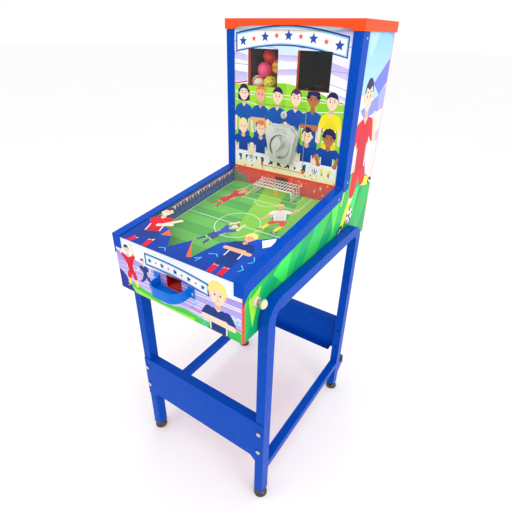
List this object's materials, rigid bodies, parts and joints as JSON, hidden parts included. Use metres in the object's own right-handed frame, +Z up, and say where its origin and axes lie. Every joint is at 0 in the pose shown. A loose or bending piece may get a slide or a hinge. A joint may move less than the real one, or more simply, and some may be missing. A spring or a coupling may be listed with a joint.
{
  "type": "coin-operated football pinball vending game",
  "caption": "Coin-operated football pinball that vends bouncy balls: sloped playfield under a clear cover, windowed backbox with coin door, on a square-tube steel stand.",
  "frame": {"origin": "on the floor under the centre of the bounding box", "axes": "+Z up, -Y towards the player, +X to the player's right"},
  "size_m": [0.491, 0.7976, 1.33],
  "materials": {
    "blue_steel": "gloss powder coat",
    "red_steel": "gloss powder coat",
    "printed_panel": "sheet steel under gloss printed film",
    "field_print": "printed playing surface",
    "clear_acrylic": "clear sheet, part printed",
    "zinc_casting": "satin die-cast zinc",
    "fastener": "zinc plate",
    "dark_glide": "dark nickel plate",
    "black_rubber": "moulded tread",
    "cream_plastic": "moulded",
    "tray_plastic": "moulded",
    "red_plastic": "moulded",
    "white_wire": "painted wire",
    "yellow_plastic": "moulded",
    "spring_steel": "bright wire",
    "wheel_plastic": "moulded",
    "ball_pink": "bouncy rubber",
    "ball_orange": "bouncy rubber",
    "ball_yellow": "bouncy rubber"
  },
  "bodies": {
    "root": {"back_panel": "red_steel", "backbox_panel": "red_steel", "ball_hopper": "red_steel", "ball_tray": "tray_plastic", "bottom_panel": "red_steel", "bouncy_ball_1": "ball_pink", "bouncy_ball_2": "ball_orange", "bouncy_ball_3": "ball_yellow", "button_collar_left": "cream_plastic", "button_collar_right": "cream_plastic", "button_spring_left": "spring_steel", "button_spring_right": "spring_steel", "coin_door_pin": "fastener", "dispenser_axle": "fastener", "drop_chute": "red_plastic", "foot_front_left": "dark_glide", "foot_front_right": "dark_glide", "foot_rear_left": "dark_glide", "foot_rear_right": "dark_glide", "front_pane": "clear_acrylic", "front_panel": "printed_panel", "front_stretcher": "blue_steel", "goal": "white_wire", "goalkeeper": "yellow_plastic", "hopper_shelf": "red_steel", "outlet_chute": "red_plastic", "playfield": "field_print", "playfield_cover": "clear_acrylic", "playfield_rear_wall": "red_steel", "post_trim_left": "blue_steel", "post_trim_right": "blue_steel", "rear_stretcher": "blue_steel", "rim_trim_left": "blue_steel", "rim_trim_right": "blue_steel", "side_frame_left": "blue_steel", "side_frame_right": "blue_steel", "side_panel_left": "printed_panel", "side_panel_right": "printed_panel", "side_rail_left": "blue_steel", "side_rail_right": "blue_steel", "stretcher_bolt_left_lower": "fastener", "stretcher_bolt_left_upper": "fastener", "stretcher_bolt_right_lower": "fastener", "stretcher_bolt_right_upper": "fastener", "wheel_axle_left": "fastener", "wheel_axle_right": "fastener", "wheel_bracket_left": "blue_steel", "wheel_bracket_right": "blue_steel"},
    "wheel_left": {"wheel_left": "black_rubber"},
    "wheel_right": {"wheel_right": "black_rubber"},
    "coin_door": {"coin_door": "printed_panel", "coin_mechanism": "zinc_casting"},
    "coin_handle": {"coin_handle": "zinc_casting"},
    "lock_barrel": {"lock_barrel": "fastener"},
    "dispensing_wheel": {"dispensing_wheel": "wheel_plastic"},
    "button_left": {"button_left": "cream_plastic"},
    "button_right": {"button_right": "cream_plastic"},
    "flipper_left": {"flipper_left": "red_plastic"},
    "flipper_right": {"flipper_right": "red_plastic"},
    "top_cap": {"top_cap": "red_steel"}
  },
  "joints": [
    {"name": "wheel_left_roll", "type": "hinge", "parent": "root", "child": "wheel_left", "pos_m": [-0.2245, 0.3172, 0.104], "axis": [1, 0, 0], "continuous": true},
    {"name": "wheel_right_roll", "type": "hinge", "parent": "root", "child": "wheel_right", "pos_m": [0.2245, 0.3172, 0.104], "axis": [1, 0, 0], "continuous": true},
    {"name": "button_left_press", "type": "slide", "parent": "root", "child": "button_left", "axis": [1, 0, 0], "range_m": [0, 0.011], "stiffness_N_per_m": 200, "deforming": ["button_spring_left"]},
    {"name": "flipper_left_swing", "type": "hinge", "parent": "root", "child": "flipper_left", "pos_m": [-0.07, -0.28536, 0.79417], "axis": [0, -0.1305, 0.9914], "range_deg": [0, 45]},
    {"name": "button_right_press", "type": "slide", "parent": "root", "child": "button_right", "axis": [-1, 0, 0], "range_m": [0, 0.011], "stiffness_N_per_m": 200, "deforming": ["button_spring_right"]},
    {"name": "flipper_right_swing", "type": "hinge", "parent": "root", "child": "flipper_right", "pos_m": [0.07, -0.28536, 0.79417], "axis": [0, 0.1305, -0.9914], "range_deg": [0, 45]},
    {"name": "coin_door_open", "type": "hinge", "parent": "root", "child": "coin_door", "pos_m": [0, 0.1465, 0.927], "axis": [1, 0, 0], "range_deg": [0, 65]},
    {"name": "coin_handle_turn", "type": "hinge", "parent": "coin_door", "child": "coin_handle", "pos_m": [0, 0.1255, 0.997], "axis": [0, 1, 0], "continuous": true},
    {"name": "dispensing_wheel_turn", "type": "hinge", "parent": "root", "child": "dispensing_wheel", "pos_m": [0, 0.2742, 1.048], "axis": [0, 0, 1], "continuous": true},
    {"name": "lock_turn", "type": "hinge", "parent": "coin_door", "child": "lock_barrel", "pos_m": [0, 0.1455, 1.086], "axis": [0, -1, 0], "range_deg": [0, 90]},
    {"name": "top_cap_lift", "type": "slide", "parent": "root", "child": "top_cap", "axis": [0, 0, 1], "range_m": [0, 0.08]}
  ],
  "couplings": [
    {"joint": "flipper_left_swing", "follows": "button_left_press", "rad_per_m": 71.39},
    {"joint": "flipper_right_swing", "follows": "button_right_press", "rad_per_m": 71.39},
    {"joint": "dispensing_wheel_turn", "follows": "coin_handle_turn", "ratio": 0.33333}
  ]
}
